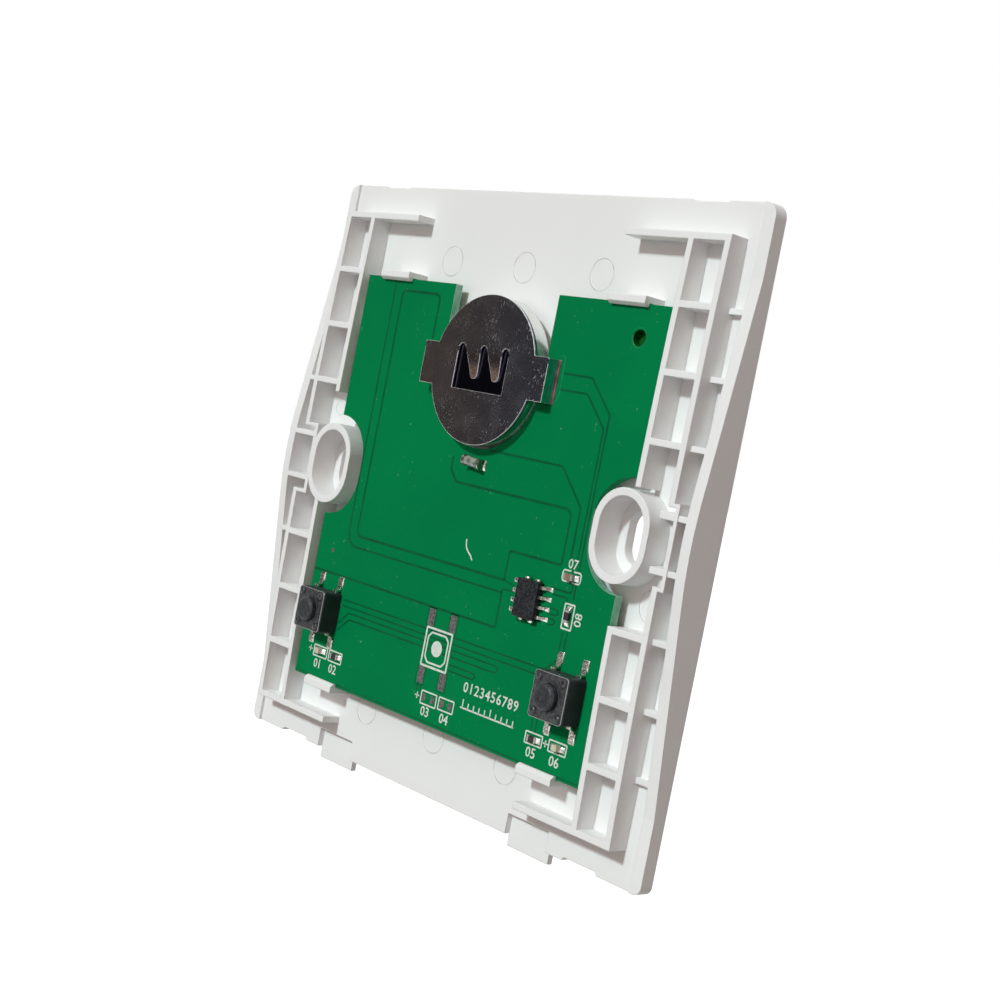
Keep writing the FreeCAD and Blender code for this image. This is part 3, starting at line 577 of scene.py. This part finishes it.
def clip_finish():
    """Bright sheet: brownish towards the left and blue-grey towards the right, with fine specks and
    scratches that scatter light. The two bent fingers (front faces that lean downwards) go from the sheet's own
    colour at their roots to a painted reflection of warm surroundings, a duller brown, at their tips, and every cut
    edge carries a painted highlight, a bright line."""
    material = finish(
        "clip_metal", (0.88, 0.88, 0.88, 1), (0.72, 0.71, 0.70, 1), mottle=420.0, roughness=0.17, rough_other=0.24,
        metallic=1.0, grain=900.0, depth=0.12, edge=0.1,
    )
    tree, shader, base = principled(material)
    rough = shader.inputs["Roughness"].links[0].from_socket
    place = object_xyz(tree)
    across = map_range(tree, place[0], From_Min=-0.010, From_Max=0.011)
    tint = mix_colours(tree, across, (1.0, 0.83, 0.76, 1), (0.58, 0.62, 0.77, 1))
    tinted = add_node(tree, "ShaderNodeMix", data_type="RGBA", blend_type="MULTIPLY")
    tinted.inputs["Factor"].default_value = 1.0
    wire(tree, base, tinted.inputs[6])
    wire(tree, tint, tinted.inputs[7])
    face = face_xyz(tree)
    # Painted reflection: the fingers' front faces that lean downwards turn a duller brown towards their tips
    leaning = math_node(tree, "LESS_THAN", face[2], -0.03)
    front = math_node(tree, "LESS_THAN", face[1], -0.9)
    down = map_range(tree, place[2], From_Min=FINGER_ROOT_Z + 0.0005, From_Max=FINGER_ROOT_Z - 0.0025)
    finger_reflection = math_node(tree, "MULTIPLY", math_node(tree, "MULTIPLY", leaning, front), down)
    colour = mix_colours(tree, finger_reflection, tinted.outputs[2], (0.36, 0.21, 0.14, 1))
    dull = math_node(tree, "MAXIMUM", rough, math_node(tree, "MULTIPLY", finger_reflection, 0.36))
    fine = place_group(tree, SPECKS, Per_metre=5600.0, Top=0.475, Patch=0.30)
    coarse = place_group(tree, SPECKS, Per_metre=4200.0, Top=0.585, Patch=0.43)
    specks_and_edge_highlight = math_node(tree, "MULTIPLY", fine.outputs["Mask"], 0.34)
    specks_and_edge_highlight = math_node(tree, "MAXIMUM", specks_and_edge_highlight, math_node(tree, "MULTIPLY", coarse.outputs["Mask"], 0.85))
    thicker = math_node(tree, "ADD", math_node(tree, "MULTIPLY", across, 0.4), 0.6)
    specks_and_edge_highlight = math_node(tree, "MULTIPLY", math_node(tree, "MULTIPLY", specks_and_edge_highlight, thicker), front)
    # Painted highlight: a bright line along every cut edge, joined with the specks
    cut = place_group(tree, EDGES, Radius=0.1 * MM)
    # No rounding and no painted edge highlight where a finger bends away from the sheet
    clear = plan_mask(tree, 2, 0.00028, FINGER_ROOT_Z - 0.00002)
    bump = next(node for node in tree.nodes if node.type == "BUMP")
    facing = add_node(tree, "ShaderNodeNewGeometry")
    smooth = add_node(tree, "ShaderNodeMix", data_type="VECTOR")
    wire(tree, clear, smooth.inputs["Factor"])
    wire(tree, facing.outputs["Normal"], smooth.inputs[4])
    wire(tree, bump.inputs["Normal"].links[0].from_socket, smooth.inputs[5])
    wire(tree, smooth.outputs[1], bump.inputs["Normal"])
    specks_and_edge_highlight = math_node(tree, "MAXIMUM", specks_and_edge_highlight, math_node(tree, "MULTIPLY", cut.outputs["Mask"], clear))
    wire(tree, mix_colours(tree, specks_and_edge_highlight, colour, (0.92, 0.91, 0.89, 1)), shader.inputs["Base Color"])
    wire(tree, math_node(tree, "MAXIMUM", dull, math_node(tree, "MULTIPLY", specks_and_edge_highlight, 0.5)), shader.inputs["Roughness"])
    return material


def glass_finish():
    """Pale glass with a faint green cast, clear enough to show the dark slug inside."""
    material = bpy.data.materials.new("diode_glass_finish")
    material.use_nodes = True
    tree, shader, _ = principled(material)
    broad = place_group(tree, MOTTLE, Main=(0.62, 0.66, 0.58, 1), Other=(0.10, 0.11, 0.08, 1), Per_metre=900.0)
    wire(tree, broad.outputs["Color"], shader.inputs["Base Color"])
    shader.inputs["Roughness"].default_value = 0.08
    shader.inputs["Coat Weight"].default_value = 0.6
    shader.inputs["Transmission Weight"].default_value = 0.35
    return material


def dress_board_edges(material):
    """The board's cut edges are paler laminate, wherever the face doesn't look straight forward or back, with a painted
    highlight along their rims, and as green as the mask, a painted shade, where they look downwards."""
    tree, shader, source = principled(material)
    face = face_xyz(tree)
    side = math_node(tree, "LESS_THAN", math_node(tree, "ABSOLUTE", face[1]), 0.5)
    cut = place_group(tree, MOTTLE, Main=(0.32, 0.56, 0.42, 1), Other=(0.15, 0.40, 0.26, 1), Per_metre=700.0)
    # A painted highlight along the rims of the cut edges
    rim = place_group(tree, EDGES, Radius=0.16 * MM)
    laminate_with_painted_light = mix_colours(tree, rim.outputs["Mask"], cut.outputs["Color"], (0.70, 0.82, 0.74, 1))
    # Painted shade: the cut edges that look downwards are as dark green as the mask
    shaded_underside = math_node(tree, "LESS_THAN", face[2], -0.2)
    laminate_with_painted_light = mix_colours(tree, shaded_underside, laminate_with_painted_light, (0.02, 0.27, 0.11, 1))
    wire(tree, mix_colours(tree, side, source, laminate_with_painted_light), shader.inputs["Base Color"])


def dress_cell_front(material):
    """Painted shade: the cell's flat front lies in the clip's shade, so it is painted dark where the face looks
    straight forward, and on the step of its lid."""
    tree, shader, source = principled(material)
    front = math_node(tree, "LESS_THAN", face_xyz(tree)[1], -0.97)
    step = math_node(tree, "LESS_THAN", object_xyz(tree)[1], CELL_STEP_Y)
    shaded = math_node(tree, "MAXIMUM", front, step)
    wire(tree, mix_colours(tree, shaded, source, (0.045, 0.045, 0.075, 1)), shader.inputs["Base Color"])


dress_board_edges(board_face)
dress_cell_front(cell_metal)
dress(white_moulding, "base_plate")
dress(board_face, "circuit_board")
dress(clip_finish(), "battery_clip")
dress(cell_metal, "coin_cell")
dress(tinned, "lower_contact")
dress(chip_resin, "chip_body")
dress(tinned, "chip_leads")
dress(cap_metal, "diode_caps")
dress(glass_finish(), "diode_glass")
for side in ("left", "right"):
    dress(switch_resin, side + "_switch_housing")
    dress(cover_metal, side + "_switch_cover")
    dress(plunger_resin, side + "_plunger")
    dress(tinned, side + "_switch_terminals")
    dress(led_resin, side + "_led_lens")


def small_part(name, node, colour, other, axis):
    """A two-ended part: a fired body whose outer 38% at each end of the given axis is tinned."""
    low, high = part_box(node)
    centre = (low[axis] + high[axis]) / 2.0 / MM
    half = (high[axis] - low[axis]) / 2.0 / MM
    body = finish(name, colour, other, mottle=1200.0, roughness=0.4, grain=7000.0, depth=0.5, edge=0.05)
    tin_ends(body, axis, half * 0.62, centre)
    dress(body, node)


CERAMIC = ((0.30, 0.20, 0.14, 1), (0.22, 0.15, 0.11, 1))
GLAZE = ((0.03, 0.03, 0.032, 1), (0.02, 0.02, 0.02, 1))
LAMINATE = ((0.68, 0.66, 0.58, 1), (0.60, 0.58, 0.50, 1))
small_part("capacitor_finish", "capacitor", *CERAMIC, 0)
small_part("chip_resistor_finish", "chip_resistor", *GLAZE, 2)
for side in ("right", "left"):
    small_part(side + "_resistor_finish", side + "_led_resistor", *GLAZE, 0)
    small_part(side + "_led_finish", side + "_led_base", *LAMINATE, 0)


# Copper outlines under the green mask: dark lines where the copper is etched away

# Heights on the board: a gap's lower and upper side, print's lower and upper side
GAP_LOW, GAP_HIGH = BOARD_H + 0.004, BOARD_H + 0.014
PRINT_LOW, PRINT_HIGH = BOARD_H + 0.012, BOARD_H + 0.03
HOLE = (25.8, 23.7)


def line(points, width, radius):
    """One etched gap: a rounded path just above the board's face."""
    return ribbon(rounded(points, radius), width, GAP_LOW, GAP_HIGH)


# Each gap: its corners, its width and the radius of its bends
GAPS = [
    ([(-13.3, 20.0), (-13.3, 26.2), (-21.8, 26.2), (-21.8, -9.65), (10.4, -9.65)], 0.3, 1.1),
    ([(-23.7, 27.6), (-23.7, -11.3), (10.4, -11.3)], 0.24, 2.4),
    ([(10.45, -5.75), (10.45, -9.65)], 0.28, 0.35),
    ([(10.45, -9.65), (12.6, -10.05)], 0.22, 0.35),
    ([(10.45, -11.3), (10.45, -10.85), (12.6, -10.75)], 0.22, 0.35),
    ([(10.45, -11.3), (10.45, -15.95), (-30.2, -15.95)], 0.28, 0.35),
    ([(10.45, -5.75), (20.2, -5.75), (20.2, 0.6), (19.5, 1.3), (-2.6, 1.3), (-4.1, 2.8), (-4.1, 4.6)], 0.28, 0.35),
    ([(3.0, 6.4), (17.0, 6.4), (21.6, 1.8), (21.6, -4.8)], 0.26, 0.35),
    ([(13.9, 18.0), (19.2, 18.0), (23.45, 13.75), (23.45, -9.6)], 0.24, 0.35),
    ([(13.9, 15.9), (18.9, 15.9), (22.85, 11.95), (22.85, -5.0)], 0.24, 0.35),
    ([(19.7, -8.85), (22.9, -8.85), (22.9, -7.6)], 0.22, 0.35),
    ([(19.7, -9.55), (22.2, -9.55), (22.7, -10.1)], 0.2, 0.35),
    ([(19.7, -11.35), (21.0, -11.35), (21.35, -11.72), (21.0, -12.1), (19.7, -12.1)], 0.2, 0.35),
    ([(19.7, -12.65), (20.7, -12.65), (21.05, -13.0), (20.7, -13.4), (19.7, -13.4)], 0.2, 0.35),
    ([(22.7, -13.7), (22.7, -16.4)], 0.22, 0.35),
    ([(23.5, -13.7), (23.5, -16.4)], 0.22, 0.35),
    ([(-22.0, -19.1), (20.4, -19.0), (21.4, -18.6), (22.6, -17.4)], 0.22, 0.35),
    ([(-22.0, -19.95), (22.5, -19.95)], 0.22, 0.35),
    ([(-22.2, -22.6), (-20.3, -20.75), (12.1, -20.75), (12.6, -21.2), (12.1, -21.65), (-19.9, -21.65),
      (-22.2, -23.7)], 0.22, 0.35),
    ([(3.1, -22.7), (8.1, -22.7), (8.5, -23.1), (8.1, -23.5), (3.1, -23.5)], 0.22, 0.35),
    ([(20.5, -25.0), (20.5, -27.0)], 0.16, 0.3),
    ([(21.3, -25.0), (21.3, -27.0)], 0.16, 0.3),
    ([(-2.5, -26.3), (-2.5, -27.5)], 0.16, 0.3),
    ([(-1.7, -26.3), (-1.7, -27.5)], 0.16, 0.3),
    ([(-30.1, -31.25), (30.1, -31.25)], 0.16, 0.3),
]
gap_lines = [line(corners, 1.25 * width, bend) for corners, width, bend in GAPS]
for x, z in ((-2.25, -17.4), (2.35, -17.4), (-2.3, -25.35), (2.3, -25.35)):
    outline = rounded(box_outline(x - 0.85, x + 0.85, z - 1.35, z + 1.35), 0.2, True)
    gap_lines.append(ribbon(outline, 0.14, GAP_LOW, GAP_HIGH, True))
add_piece("board_etched_gaps", *join_parts(gap_lines), gap_mask, "board_green")

# A painted highlight: a lighter green line along the copper's edge beside each gap
lit_edges = [line([(x + 0.17, z - 0.13) for x, z in corners], 0.1, bend) for corners, _, bend in GAPS]
add_piece("board_copper_edge_highlights", *join_parts([(v - (0, 0.003, 0), f) for v, f in lit_edges]), copper_edge_highlight, "board_green")

# Painted shade inside the small hole: a dark green lining and a plug behind it
hole_shade_profile = [(0, 2.86), (1.08, 2.86), (1.08, 4.0), (1.0, 4.0), (1.0, 2.96), (0, 2.96)]
add_piece("board_hole_shade", *turned(hole_shade_profile, *HOLE), hole_shade_paint, "board_green")

# Pale lines: the mask's edge beside the clip's right leg, and a painted highlight on the rim of the small hole
pale_lines = [
    line([(12.9, 20.2), (13.75, 20.2), (13.9, 15.0), (13.1, 14.1)], 0.2, 0.5),
    ribbon(rounded(ring_path(*HOLE, 1.25, 24), 0.1, True), 0.16, BOARD_H + 0.002, GAP_HIGH, True),
]
add_piece("board_pale_rims", *join_parts(pale_lines), pale_mask, "board_green")


# White printing

def stroke(points, width, closed=True):
    """A printed line, its corners rounded to 0.12 mm."""
    return ribbon(rounded(points, 0.12, closed, 3), width, PRINT_LOW, PRINT_HIGH, closed)


def bracket(x0, x1, z0, z1, gap):
    """Printed brackets round a part: two rounded C shapes that leave a gap in the middle of the long sides."""
    middle = (x0 + x1) / 2.0
    left = [(middle - gap, z1), (x0 + 0.2, z1), (x0, z1 - 0.25), (x0, z0 + 0.25), (x0 + 0.2, z0), (middle - gap, z0)]
    right = [(middle + gap, z1), (x1 - 0.2, z1), (x1, z1 - 0.25), (x1, z0 + 0.25), (x1 - 0.2, z0), (middle + gap, z0)]
    return [stroke(left, 0.2, False), stroke(right, 0.2, False)]


def plus_sign(x, z, arm=0.45):
    """A printed polarity cross."""
    return [stroke([(x - arm, z), (x + arm, z)], 0.18, False), stroke([(x, z - arm), (x, z + arm)], 0.18, False)]


octagon = [(-1.45, -19.3), (1.45, -19.3), (2.1, -19.95), (2.1, -22.7), (1.45, -23.4), (-1.45, -23.4), (-2.1, -22.7),
           (-2.1, -19.95)]
printing = [
    stroke(box_outline(-2.65, 2.65, -23.95, -18.75), 0.3),
    stroke(octagon, 0.26),
    turned([(0, BOARD_H + 0.01), (1.08, BOARD_H + 0.01), (1.08, PRINT_HIGH), (0, PRINT_HIGH)], 0.0, -21.3),
    stroke(box_outline(-26.65, -23.45, -28.3, -26.75), 0.2),
    stroke(box_outline(-22.95, -19.9, -28.3, -26.75), 0.2),
    stroke(box_outline(-1.3, 1.9, -29.0, -27.25), 0.2),
    stroke(box_outline(2.45, 5.5, -28.9, -27.25), 0.2),
    stroke(box_outline(19.75, 22.85, -28.6, -27.15), 0.2),
    stroke(box_outline(24.1, 27.25, -28.55, -27.1), 0.2),
    stroke(box_outline(22.25, 23.95, -13.35, -10.2), 0.22),
]
printing += bracket(20.75, 24.0, -7.55, -6.15, 0.25)
printing += plus_sign(-27.5, -27.5) + plus_sign(-2.15, -28.15) + plus_sign(23.5, -27.85)
# Each label: its digits, its lower left corner, its size and its turn in degrees
labels = [("01", -26.2, -29.95, 1.85, 0), ("02", -22.5, -29.95, 1.85, 0), ("03", -0.9, -30.55, 1.85, 0),
          ("04", 3.1, -30.55, 1.85, 0), ("05", 20.3, -30.25, 1.85, 0), ("06", 24.6, -30.25, 1.85, 0),
          ("07", 21.4, -5.85, 1.75, 0), ("08", 25.5, -12.7, 1.75, 90)]
printing += [printed_text(*label) for label in labels]
# A plain printed scale: digits over a row of marks, the first and the sixth of them longer
SCALE_STEP, SCALE_Z = 1.1, -27.5
printing += [printed_text(str(k), 6.7 + SCALE_STEP * k, -25.4, 1.95) for k in range(10)]
printing.append(stroke([(6.8, SCALE_Z), (17.3, SCALE_Z)], 0.22, False))
for k in range(10):
    x = 7.2 + SCALE_STEP * k
    printing.append(stroke([(x, SCALE_Z), (x, -26.35 - 0.35 * (k % 5 > 0))], 0.2, False))
add_piece("board_printing", *join_parts(printing), print_ink, "led_white")

# A thin pale scratch on the board
scratch_path = rounded([(1.75, -5.8), (1.9, -6.8), (2.5, -7.4), (3.1, -7.8), (3.55, -8.35)], 0.4)
add_piece("board_scratch", *ribbon(scratch_path, 0.22, BOARD_H + 0.002, BOARD_H + 0.02), print_ink, "led_white")


# Bare pads, solder and small metal parts

def pad(x, z, width, height):
    """A bare copper pad."""
    return slab(x - width / 2.0, x + width / 2.0, z - height / 2.0, z + height / 2.0, GAP_LOW, PRINT_HIGH)


pads = [pad(sx * 2.25 + 0.05, z, 1.3, 2.3) for sx in (-1, 1) for z in (-17.35, -25.3)]
pads += [pad(x, z, 0.75, 1.0) for x, z in ((-0.75, -28.1), (1.05, -28.1), (3.1, -28.1), (4.75, -28.1))]
round_pad = [(0, BOARD_H), (0.34, BOARD_H), (0.34, BOARD_H + 0.02), (0, BOARD_H + 0.02)]
pads.append(turned(round_pad, -26.7, -12.7, 12))
add_piece("board_bare_pads", *join_parts(pads), bare_pad, "tinned_metal")

# Solder at the switches' legs, the chip's leads, the small parts' ends and the diode's caps
SWITCHES = {"right": (25.5, -21.5), "left": (-25.5, -21.4)}
joints = []
for sx, sz in SWITCHES.values():
    for dx in (-2.25, 2.25):
        for dz in (-1, 1):
            joints.append(bead(sx + dx, sz + dz * 4.6, 0.52, 0.72, BOARD_H, 0.16, lean=(0, -0.3 * dz)))
CHIP_X, CHIP_Z, LEAD_PITCH = 16.0, -11.05, 1.27
for row in (-1.5, -0.5, 0.5, 1.5):
    for end in (-1, 1):
        x, z = CHIP_X + end * 2.95, CHIP_Z + row * LEAD_PITCH
        joints.append(bead(x, z, 0.72, 0.3, BOARD_H, 0.2, lean=(-0.4 * end, 0)))
for x, z in ((22.4, -6.9), (21.25, -27.9), (-21.35, -27.4), (25.7, -27.8), (-25.2, -27.4)):
    for end in (-1, 1):
        joints.append(bead(x + 0.95 * end, z, 0.35, 0.42, BOARD_H, 0.28, lean=(-0.7 * end, 0)))
for end in (-1, 1):
    joints.append(bead(23.1, -11.7 + 0.95 * end, 0.42, 0.35, BOARD_H, 0.28, lean=(0, -0.7 * end)))
joints.append(bead(-0.75, 4.56, 0.3, 0.72, BOARD_H, 0.5, lean=(0.5, 0)))
joints.append(bead(2.5, 4.25, 0.3, 0.72, BOARD_H, 0.5, lean=(-0.5, 0)))
add_piece("solder_joints", *join_parts(joints), solder, "tinned_metal", smooth=True)

flux = [bead(12.98, 16.7, 0.2, 2.95, BOARD_H, 0.22), bead(-12.15, 16.7, 0.2, 2.95, BOARD_H, 0.22)]
add_piece("clip_leg_flux", *join_parts(flux), dark_flux, "tinned_metal", smooth=True)

tie_bars = [bead(x, z, 0.36, 0.26, BOARD_H + 0.4, 0.42) for x in (15.3, 17.2) for z in (-8.42, -13.64)]
add_piece("chip_tie_bars", *join_parts(tie_bars), solder, "tinned_metal", smooth=True)

# The spring dome under each plunger: its height falls off from 6.12 mm with the square of the radius
DOME_FOOT_H = 5.4
t = np.linspace(0.0, 1.0, 13)
dome_top = np.column_stack([2.1 * t, 6.12 - 0.64 * t ** 2])
dome_under = np.column_stack([2.1 * t, np.maximum(6.04 - 0.72 * t ** 2, DOME_FOOT_H)])
dome_profile = np.vstack([dome_top, dome_under[::-1]])
for side, (x, z) in SWITCHES.items():
    spring = add_piece(side + "_spring_dome", *turned(dome_profile, x, z, 40), dome_metal, "dome_steel", smooth=True)
    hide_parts(side + "_snap_dome")
    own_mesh(spring)

# The rivet posts' pressed heads: a low dome on each
rivet_head = [(0, 7.50), (0.2, 7.49), (0.38, 7.45), (0.50, 7.38), (0.56, 7.30), (0.56, 7.26), (0, 7.26)]
rivets = [
    turned(rivet_head, x + dx, z + dz, 20)
    for x, z in SWITCHES.values() for dx in (-2.2, 2.2) for dz in (-2.2, 2.2)
]
add_piece("switch_rivet_heads", *join_parts(rivets), rivet_resin, "switch_black", smooth=True)


# Faint round marks of the ejector pins on the white floor: centre and radius. Each is drawn as a dark ring of painted
# shade, with a pale ring of painted highlight offset beside it.

marks = [(x, z, 2.1) for x in (-15.1, 0.0, 14.8) for z in (31.3, -33.5)]
marks += [(36.1, 23.0, 1.2), (36.0, -23.0, 1.2), (34.3, -8.0, 2.1), (-34.4, 8.0, 1.2)]
rings = [ribbon(ring_path(*mark), 0.13, FLOOR_H - 0.01, FLOOR_H + 0.025, True) for mark in marks]
add_piece("ejector_ring_shades", *join_parts(rings), mark_shade, "white_plastic")
rim_highlights = [
    ribbon(ring_path(x + 0.06, z - 0.07, r - 0.1), 0.18, FLOOR_H - 0.01, FLOOR_H + 0.02, True) for x, z, r in marks
]
add_piece("ejector_rim_highlights", *join_parts(rim_highlights), mark_highlight, "white_plastic")


# Camera, light, floor and surroundings

def turned_to(thing, direction):
    """Turns an object so that its own Z looks along a direction."""
    thing.rotation_mode = "QUATERNION"
    thing.rotation_quaternion = Vector(direction).to_track_quat("Z", "Y")


def seen_directly(tree):
    """1 on the rays that the camera, a reflection or a clear part sends straight out, else 0."""
    path = add_node(tree, "ShaderNodeLightPath")
    seen = math_node(tree, "MAXIMUM", path.outputs["Is Camera Ray"], path.outputs["Is Glossy Ray"])
    return math_node(tree, "MAXIMUM", seen, path.outputs["Is Transmission Ray"])


def card(name, centre, size, colour):
    """A flat card that only shiny surfaces see, facing the object: it stands in for the room in front."""
    mesh = bpy.data.meshes.new(name)
    half = size / 2.0
    mesh.from_pydata([(-half, -half, 0), (half, -half, 0), (half, half, 0), (-half, half, 0)], [], [(0, 1, 2, 3)])
    material = bpy.data.materials.new(name)
    material.use_nodes = True
    tree = material.node_tree
    tree.nodes.clear()
    glow = add_node(tree, "ShaderNodeEmission")
    glow.inputs[0].default_value = colour
    glow.inputs[1].default_value = 1.0
    out = add_node(tree, "ShaderNodeOutputMaterial")
    wire(tree, glow.outputs[0], out.inputs[0])
    mesh.materials.append(material)
    made = link(mesh)
    made.location = centre
    turned_to(made, centre)
    made.visible_camera = False
    made.visible_diffuse = False
    made.visible_shadow = False
    made.visible_transmission = False


card("dark_room", (-0.36, -0.32, 0.10), 0.42, (0.035, 0.033, 0.034, 1))
card("warm_table", (-0.33, -0.29, -0.20), 0.24, (0.16, 0.10, 0.06, 1))

# The floor, in metres: a square plane below the plate
FLOOR_Z, FLOOR_HALF = -0.14, 4.0
corners = [(x * FLOOR_HALF, y * FLOOR_HALF, FLOOR_Z) for x, y in ((-1, -1), (1, -1), (1, 1), (-1, 1))]
floor_mesh = bpy.data.meshes.new("floor")
floor_mesh.from_pydata(corners, [], [(0, 1, 2, 3)])
floor = link(floor_mesh)
floor_paint = bpy.data.materials.new("floor_paint")
floor_paint.use_nodes = True
floor_tree = floor_paint.node_tree
floor_shader = floor_tree.nodes["Principled BSDF"]
floor_shader.inputs["Roughness"].default_value = 0.9
# Pale to look at, but it throws little light back up, as a table further off would
rays = add_node(floor_tree, "ShaderNodeLightPath")
pale = mix_colours(floor_tree, rays.outputs["Is Diffuse Ray"], (0.86, 0.86, 0.86, 1), (0.22, 0.20, 0.19, 1))
wire(floor_tree, pale, floor_shader.inputs["Base Color"])
glow = math_node(floor_tree, "MULTIPLY", seen_directly(floor_tree), 0.6)
floor_shader.inputs["Emission Color"].default_value = (1, 1, 1, 1)
wire(floor_tree, glow, floor_shader.inputs["Emission Strength"])
floor_mesh.materials.append(floor_paint)

world = bpy.data.worlds.new("studio")
bpy.context.scene.world = world
world.use_nodes = True
sky = world.node_tree
sky.nodes.clear()
direct = seen_directly(sky)
fill = add_node(sky, "ShaderNodeBackground")
# The light from all round: warm in front and overhead, whiter behind, each fading by the cosine
FILL_AHEAD, FILL_OVERHEAD, FILL_BEHIND = 0.72, 0.12, 1.15
WARM, COOLER = (1.0, 0.76, 0.70, 1), (1.0, 0.96, 0.94, 1)
look = add_node(sky, "ShaderNodeTexCoord")
parts = add_node(sky, "ShaderNodeSeparateXYZ")
wire(sky, look.outputs["Generated"], parts.inputs[0])
ahead = math_node(sky, "MAXIMUM", math_node(sky, "MULTIPLY", parts.outputs[1], -1.0), 0.0)
overhead = math_node(sky, "MAXIMUM", parts.outputs[2], 0.0)
behind = math_node(sky, "MAXIMUM", parts.outputs[1], 0.0)
amount = math_node(sky, "MULTIPLY", ahead, FILL_AHEAD)
amount = math_node(sky, "ADD", amount, math_node(sky, "MULTIPLY", behind, FILL_BEHIND))
amount = math_node(sky, "ADD", amount, math_node(sky, "MULTIPLY", overhead, FILL_OVERHEAD))
wire(sky, amount, fill.inputs[1])
at_back = math_node(sky, "GREATER_THAN", parts.outputs[1], 0.0)
wire(sky, mix_colours(sky, at_back, WARM, COOLER), fill.inputs[0])
# Seen directly the surroundings are plain white
white = add_node(sky, "ShaderNodeBackground")
white.inputs[0].default_value = (1, 1, 1, 1)
white.inputs[1].default_value = 1.0
blend = add_node(sky, "ShaderNodeMixShader")
sky_out = add_node(sky, "ShaderNodeOutputWorld")
wire(sky, direct, blend.inputs[0])
wire(sky, fill.outputs[0], blend.inputs[1])
wire(sky, white.outputs[0], blend.inputs[2])
wire(sky, blend.outputs[0], sky_out.inputs[0])

key_data = bpy.data.lights.new("key", "SUN")
key_data.energy = 2.04
key_data.color = (0.845, 0.99, 1.0)
key_data.angle = math.radians(7)
turned_to(link(key_data), (-0.02, -1.0, 0.60))

# The camera, fitted to the photo: where it looks from, and how far it is rolled
CAMERA_PLACE = (0.1676, -0.1518, 0.0106)
AZIMUTH, ELEVATION, ROLL = (math.radians(a) for a in (47.439, 2.691, 11.026))
flat = math.cos(ELEVATION)
back = Vector((math.sin(AZIMUTH) * flat, -math.cos(AZIMUTH) * flat, math.sin(ELEVATION)))
level = Vector((0, 0, 1)).cross(back).normalized()
upward = back.cross(level)
cam_x = level * math.cos(ROLL) + upward * math.sin(ROLL)
cam_y = -level * math.sin(ROLL) + upward * math.cos(ROLL)
cam_data = bpy.data.cameras.new("camera")
# 60 mm on a 36 mm sensor is 1667 pixels on an image 1000 pixels wide
cam_data.sensor_width = 36.0
cam_data.lens = 60.0
cam_data.clip_start = 0.005
cam_data.clip_end = 20.0
camera = link(cam_data)
aim = Matrix((cam_x, cam_y, back)).transposed().to_4x4()
camera.matrix_world = Matrix.Translation(CAMERA_PLACE) @ aim
bpy.context.scene.camera = camera
bpy.context.scene.view_settings.view_transform = "Standard"
